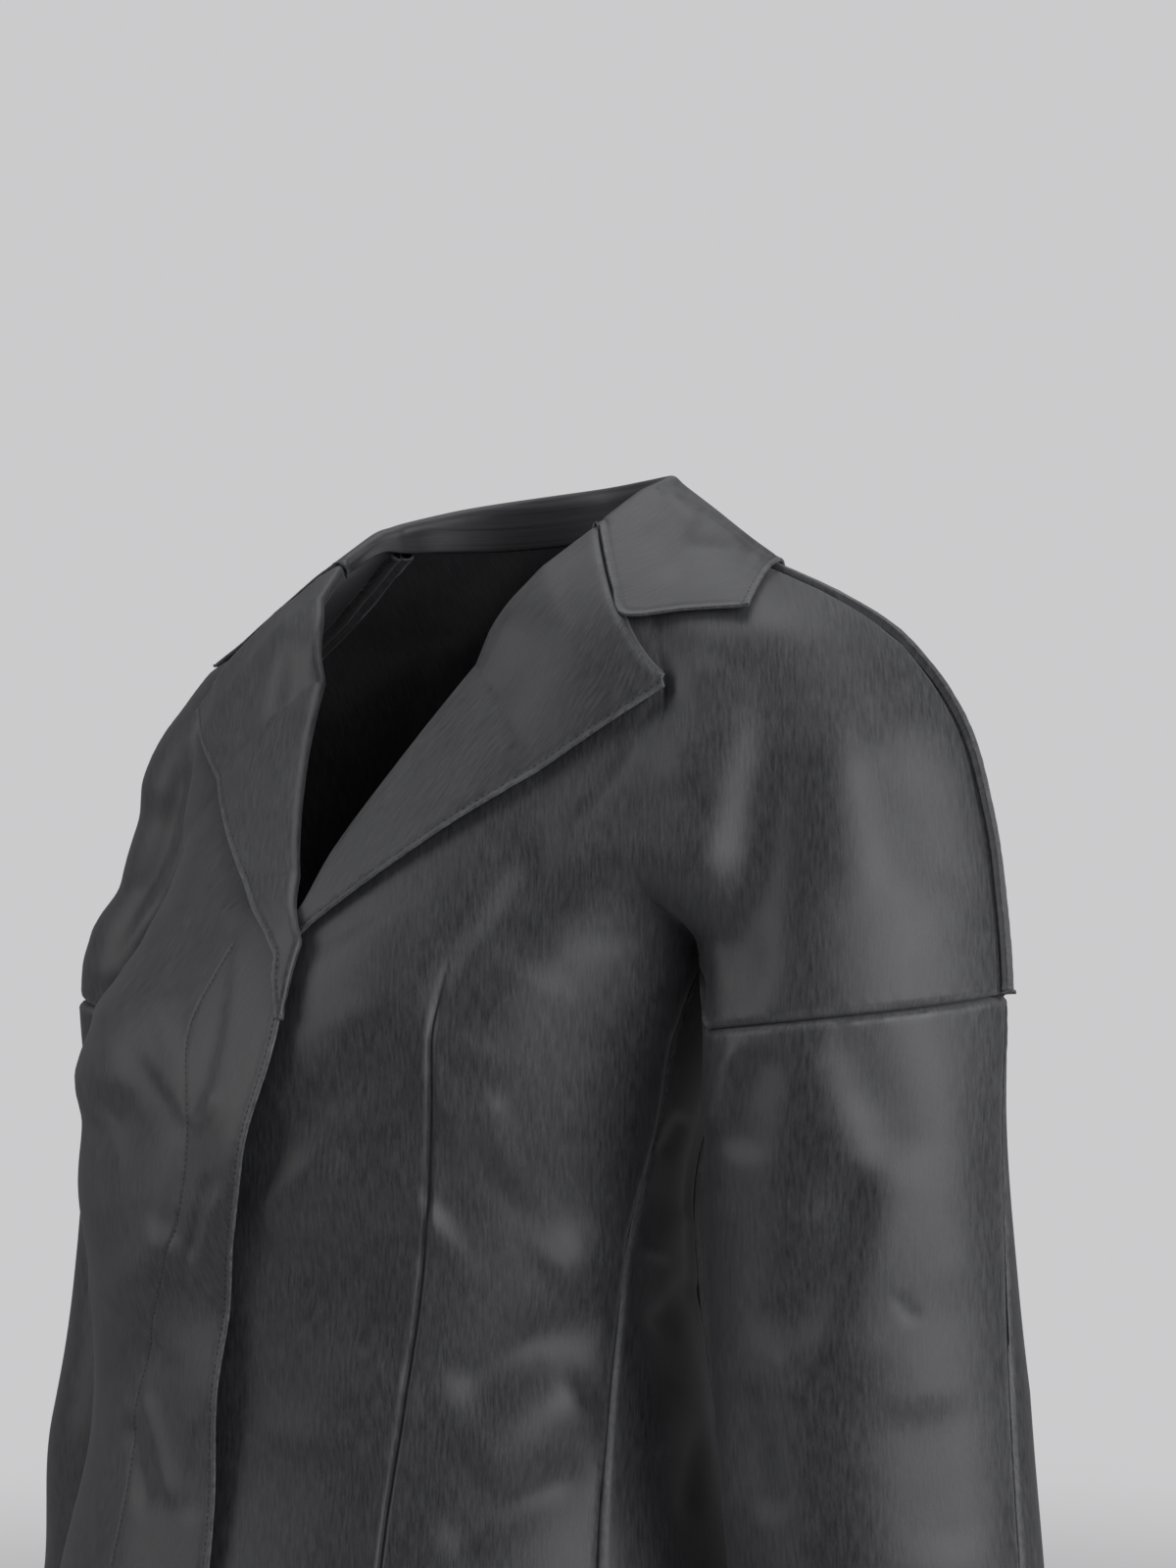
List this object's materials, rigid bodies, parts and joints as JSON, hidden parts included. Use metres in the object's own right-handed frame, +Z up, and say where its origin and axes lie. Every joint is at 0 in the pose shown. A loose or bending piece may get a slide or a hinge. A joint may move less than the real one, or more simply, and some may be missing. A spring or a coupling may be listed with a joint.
{
  "type": "blazer",
  "caption": "Waisted single-breasted blazer with notched lapels, standing roll collar, concealed front and fronts cut on over the shoulder, worn hollow and open.",
  "frame": {"origin": "midway between the two points where the shoulder ridges meet the neck edge, where the wearer's shoulders hold it", "axes": "+Z up, -Y the way the fronts face, +X towards the wearer's left sleeve"},
  "size_m": [0.625, 0.2919, 0.6386],
  "materials": {
    "front_satin": "washed charcoal satin, dull sheen, fine vertical slub",
    "back_satin": "washed charcoal satin, dull sheen, fine vertical slub",
    "sleeve_satin": "washed charcoal satin, dull sheen, fine lengthwise slub",
    "collar_satin": "washed charcoal satin, topstitched edge, worn lighter along it"
  },
  "bodies": {
    "root": {"front_left": "front_satin", "front_right": "front_satin", "side_panel_left": "front_satin", "side_panel_right": "front_satin", "back": "back_satin", "sleeve_front_left": "sleeve_satin", "sleeve_back_left": "sleeve_satin", "sleeve_front_right": "sleeve_satin", "sleeve_back_right": "sleeve_satin", "lapel_left": "collar_satin", "lapel_right": "collar_satin", "collar": "collar_satin"}
  },
  "joints": []
}
